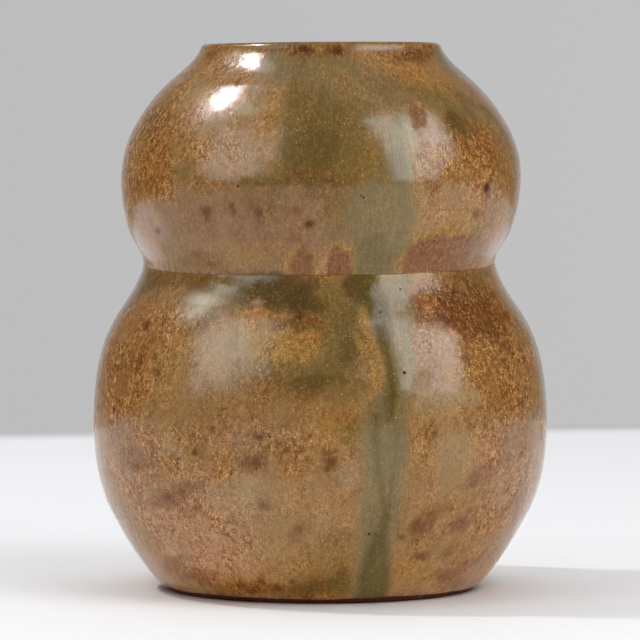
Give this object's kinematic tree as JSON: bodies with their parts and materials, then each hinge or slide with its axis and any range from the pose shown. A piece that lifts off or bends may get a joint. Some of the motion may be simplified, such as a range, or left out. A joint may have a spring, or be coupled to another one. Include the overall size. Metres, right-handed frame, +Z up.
{
  "type": "gourd vase",
  "caption": "Double-gourd stoneware vase: two stacked bulbs with a creased waist, a short collared mouth and a turned foot, under a glossy mottled brown and olive glaze.",
  "frame": {"origin": "centre of the standing ring, in the plane that the vase rests on", "axes": "+Z up along the vase's axis, -Y towards the side that the picture shows, +X to that view's right"},
  "size_m": [0.1416, 0.1416, 0.17],
  "materials": {
    "stoneware": "bare fired iron-bearing stoneware, matte, with turning rings under the foot",
    "slip": "fired clay slip, matte",
    "outer_glaze": "glossy mottled glaze, rust, golden brown and olive green, with fine crystals, iron spots and pinholes",
    "liner_glaze": "glossy plain brown liner glaze"
  },
  "bodies": {
    "root": {"lower_section": "stoneware", "upper_section": "stoneware", "luting_slip": "slip", "outer_glaze": "outer_glaze", "liner_glaze": "liner_glaze"}
  },
  "joints": []
}
